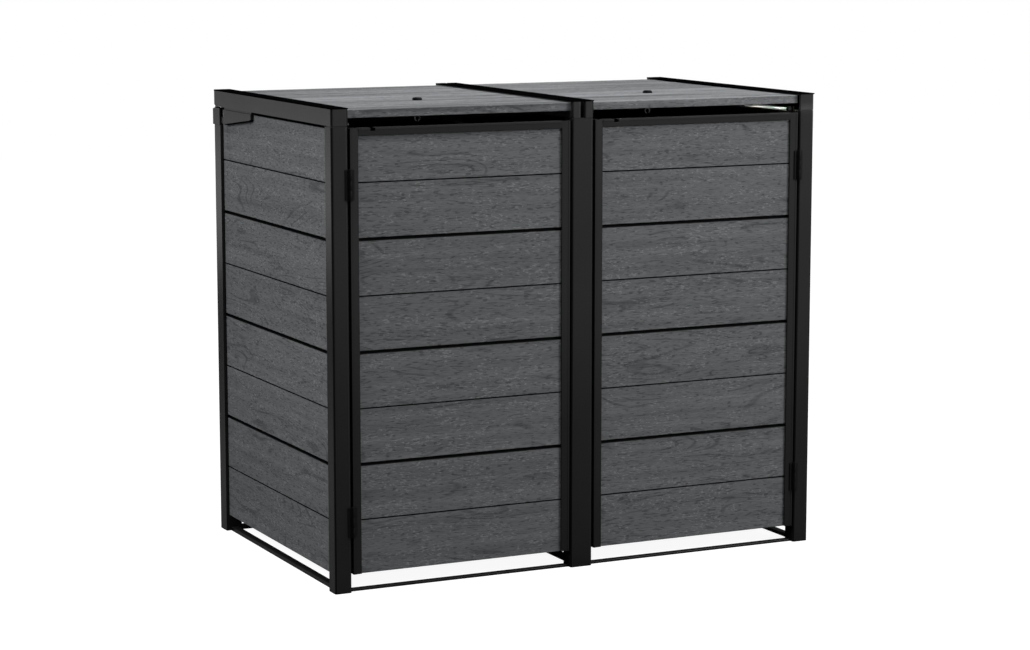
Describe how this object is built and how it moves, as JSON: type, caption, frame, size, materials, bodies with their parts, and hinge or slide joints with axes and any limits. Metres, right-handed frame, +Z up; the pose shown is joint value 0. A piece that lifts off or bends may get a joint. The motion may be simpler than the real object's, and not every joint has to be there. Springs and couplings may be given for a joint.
{
  "type": "wheelie bin store",
  "caption": "Garden store for wheeled bins: metal frame with wood-grain boards, front doors that swing out and lids that lift on gas struts.",
  "frame": {"origin": "middle of the footprint on the ground, half way between the door hinges in front and the lid hinge blocks behind", "axes": "+X to the right seen from the front, +Y to the rear, +Z up; the doors face -Y"},
  "size_m": [1.364, 0.8565, 1.201],
  "materials": {
    "frame_coat": "satin black powder coat",
    "boards": "dark grey wood-plastic composite, embossed with a wood grain",
    "black_fittings": "black coated steel",
    "black_plastic": "moulded black nylon",
    "bright_steel": "bright zinc plate",
    "rod_chrome": "hard chrome plate"
  },
  "bodies": {
    "frame": {"front_left_post": "frame_coat", "front_right_post": "frame_coat", "front_middle_post": "frame_coat", "rear_left_post": "frame_coat", "rear_right_post": "frame_coat", "rear_middle_post": "frame_coat", "left_hinge_block": "frame_coat", "right_hinge_block": "frame_coat", "middle_hinge_block": "frame_coat", "bottom_rails": "frame_coat", "thresholds": "frame_coat", "rear_rails": "frame_coat", "side_top_rails": "frame_coat", "middle_top_rail": "frame_coat", "left_side_boards": "boards", "right_side_boards": "boards", "left_rear_boards": "boards", "right_rear_boards": "boards", "strut_brackets": "black_fittings", "door_hinge_leaves": "black_fittings", "door_hinge_pins": "black_fittings", "lid_hinge_pins": "black_fittings", "door_stops": "black_fittings"},
    "left_door": {"left_door_hinge_stile": "frame_coat", "left_door_free_stile": "frame_coat", "left_door_top_rail": "frame_coat", "left_door_bottom_bar": "frame_coat", "left_door_boards": "boards", "left_door_leaves": "black_fittings", "left_door_catch": "black_plastic"},
    "left_lid": {"left_lid_outer_rail": "frame_coat", "left_lid_inner_rail": "frame_coat", "left_lid_boards": "boards", "left_lid_battens": "frame_coat", "left_lid_bolt": "black_fittings", "left_lid_eye": "bright_steel", "left_lid_arms": "frame_coat", "left_lid_strut_bracket": "black_fittings"},
    "left_rod": {"left_strut_rod": "rod_chrome"},
    "left_tube": {"left_strut_tube": "black_fittings"},
    "left_hook": {"left_bin_hook": "black_fittings"},
    "right_door": {"right_door_hinge_stile": "frame_coat", "right_door_free_stile": "frame_coat", "right_door_top_rail": "frame_coat", "right_door_bottom_bar": "frame_coat", "right_door_boards": "boards", "right_door_leaves": "black_fittings", "right_door_catch": "black_plastic"},
    "right_lid": {"right_lid_outer_rail": "frame_coat", "right_lid_inner_rail": "frame_coat", "right_lid_boards": "boards", "right_lid_battens": "frame_coat", "right_lid_bolt": "black_fittings", "right_lid_eye": "bright_steel", "right_lid_arms": "frame_coat", "right_lid_strut_bracket": "black_fittings"},
    "right_rod": {"right_strut_rod": "rod_chrome"},
    "right_tube": {"right_strut_tube": "black_fittings"},
    "right_hook": {"right_bin_hook": "black_fittings"}
  },
  "joints": [
    {"name": "left_door_swing", "type": "hinge", "parent": "frame", "child": "left_door", "pos_m": [-0.6355, -0.42325, 0.6], "axis": [0, 0, -1], "range_deg": [0, 110]},
    {"name": "left_lid_lift", "type": "hinge", "parent": "frame", "child": "left_lid", "pos_m": [-0.33425, 0.41525, 1.121], "axis": [-1, 0, 0], "range_deg": [0, 80]},
    {"name": "left_strut_turn", "type": "hinge", "parent": "frame", "child": "left_rod", "pos_m": [-0.627, -0.38175, 1.157], "axis": [1, 0, 0], "range_deg": [0, 12.85]},
    {"name": "left_strut_slide", "type": "slide", "parent": "left_rod", "child": "left_tube", "axis": [0, 1, 0], "range_m": [0, 0.23208]},
    {"name": "left_hook_swing", "type": "hinge", "parent": "left_lid", "child": "left_hook", "pos_m": [-0.33425, -0.14275, 1.1409], "axis": [1, 0, 0], "range_deg": [-85, 85]},
    {"name": "right_door_swing", "type": "hinge", "parent": "frame", "child": "right_door", "pos_m": [0.6355, -0.42325, 0.6], "axis": [0, 0, 1], "range_deg": [0, 110]},
    {"name": "right_lid_lift", "type": "hinge", "parent": "frame", "child": "right_lid", "pos_m": [0.33425, 0.41525, 1.121], "axis": [-1, 0, 0], "range_deg": [0, 80]},
    {"name": "right_strut_turn", "type": "hinge", "parent": "frame", "child": "right_rod", "pos_m": [0.627, -0.38175, 1.157], "axis": [1, 0, 0], "range_deg": [0, 12.85]},
    {"name": "right_strut_slide", "type": "slide", "parent": "right_rod", "child": "right_tube", "axis": [0, 1, 0], "range_m": [0, 0.23208]},
    {"name": "right_hook_swing", "type": "hinge", "parent": "right_lid", "child": "right_hook", "pos_m": [0.33425, -0.14275, 1.1409], "axis": [1, 0, 0], "range_deg": [-85, 85]}
  ],
  "couplings": [
    {"joint": "left_strut_turn", "follows": "left_lid_lift", "ratio": 0.15939},
    {"joint": "left_strut_slide", "follows": "left_lid_lift", "m_per_rad": 0.16586},
    {"joint": "right_strut_turn", "follows": "right_lid_lift", "ratio": 0.15939},
    {"joint": "right_strut_slide", "follows": "right_lid_lift", "m_per_rad": 0.16586}
  ]
}
